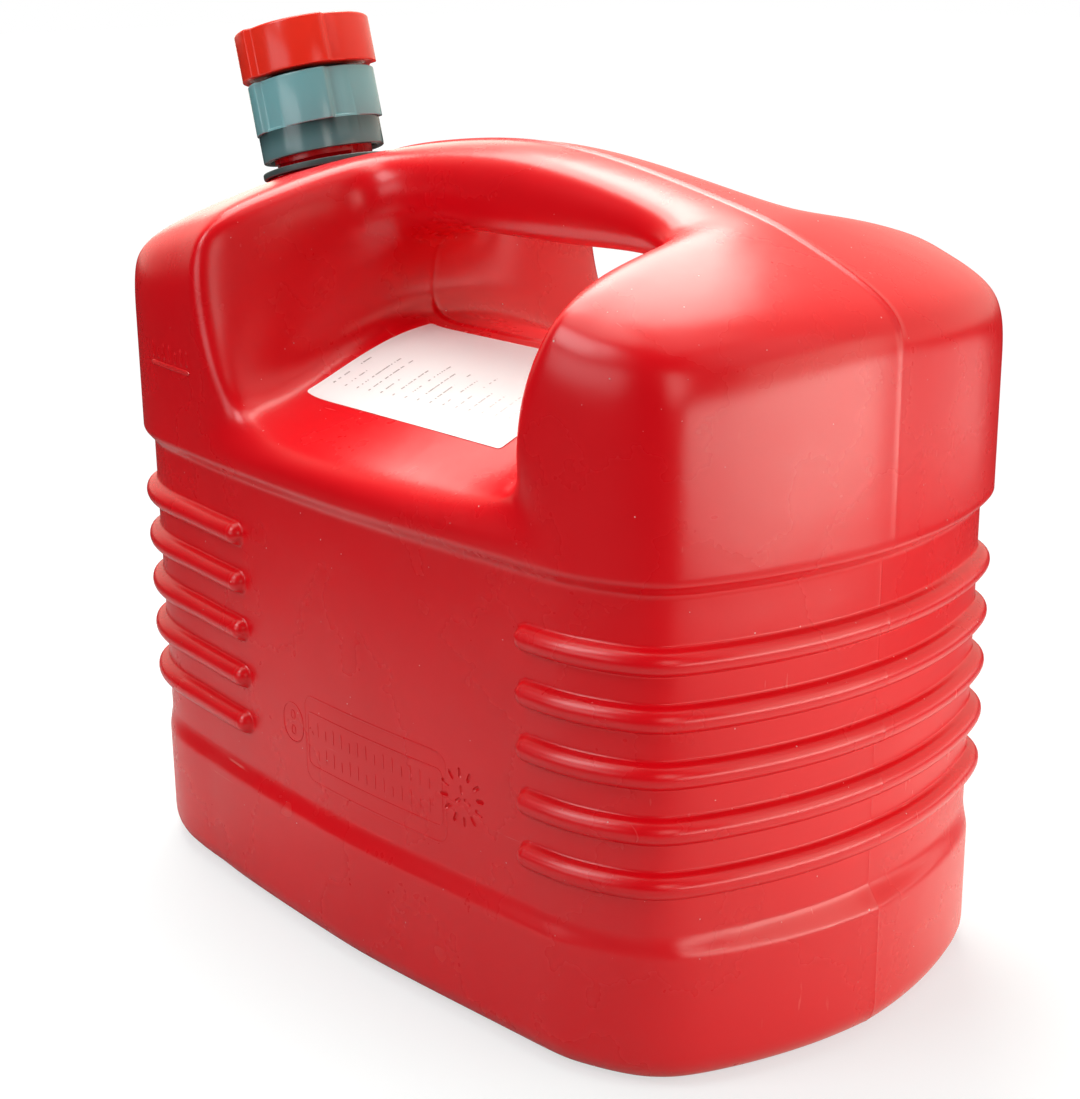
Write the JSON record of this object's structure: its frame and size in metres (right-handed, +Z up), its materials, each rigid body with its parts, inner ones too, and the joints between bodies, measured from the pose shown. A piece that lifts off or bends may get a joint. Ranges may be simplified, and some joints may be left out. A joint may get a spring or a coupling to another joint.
{
  "type": "fuel can",
  "caption": "Blow-moulded fuel can with a through carrying handle, wrap-round ribs and a tilted screw closure that holds its pouring spout, stowed inside.",
  "frame": {"origin": "on the ground under the middle of the tank", "axes": "+Z up, X along the tank's length with the filling neck at -X, Y across its width"},
  "size_m": [0.3258, 0.195, 0.3166],
  "materials": {
    "tank_red": "moulded polyethylene, fine orange-peel grain",
    "cap_red": "smooth moulded plastic",
    "nut_grey": "smooth moulded plastic",
    "ring_grey": "moulded plastic",
    "seal_black": "matt",
    "spout_black": "matt moulded plastic",
    "label_white": "printed white foil"
  },
  "bodies": {
    "tank_body": {"tank": "tank_red", "instruction_label": "label_white"},
    "ring_body": {"neck_ring": "ring_grey"},
    "gasket_body": {"nut_gasket": "seal_black"},
    "spout_body": {"spout_collar": "spout_black", "spout_hose": "spout_black", "spout_nozzle": "spout_black"},
    "nut_body": {"union_nut": "nut_grey"},
    "liner_body": {"cap_liner": "seal_black"},
    "cap_body": {"cap": "cap_red"}
  },
  "joints": [
    {"name": "ring_turn", "type": "hinge", "parent": "tank_body", "child": "ring_body", "pos_m": [-0.1254, 0, 0.2619], "axis": [-0.2639, 0, 0.9646], "continuous": true},
    {"name": "closure_lift", "type": "slide", "parent": "tank_body", "child": "gasket_body", "axis": [-0.2639, 0, 0.9646], "range_m": [0, 0.23]},
    {"name": "nut_rise", "type": "slide", "parent": "gasket_body", "child": "spout_body", "axis": [-0.2639, 0, 0.9646], "range_m": [0, 0.021]},
    {"name": "nut_turn", "type": "hinge", "parent": "spout_body", "child": "nut_body", "pos_m": [-0.1254, 0, 0.2619], "axis": [-0.2639, 0, 0.9646], "range_deg": [0, 1260]},
    {"name": "cap_rise", "type": "slide", "parent": "spout_body", "child": "liner_body", "axis": [-0.2639, 0, 0.9646], "range_m": [0, 0.012]},
    {"name": "cap_turn", "type": "hinge", "parent": "liner_body", "child": "cap_body", "pos_m": [-0.1254, 0, 0.2619], "axis": [-0.2639, 0, 0.9646], "range_deg": [0, 1080]}
  ],
  "couplings": [
    {"joint": "nut_rise", "follows": "nut_turn", "m_per_rad": 0.00095493},
    {"joint": "cap_rise", "follows": "cap_turn", "m_per_rad": 0.00063662}
  ]
}
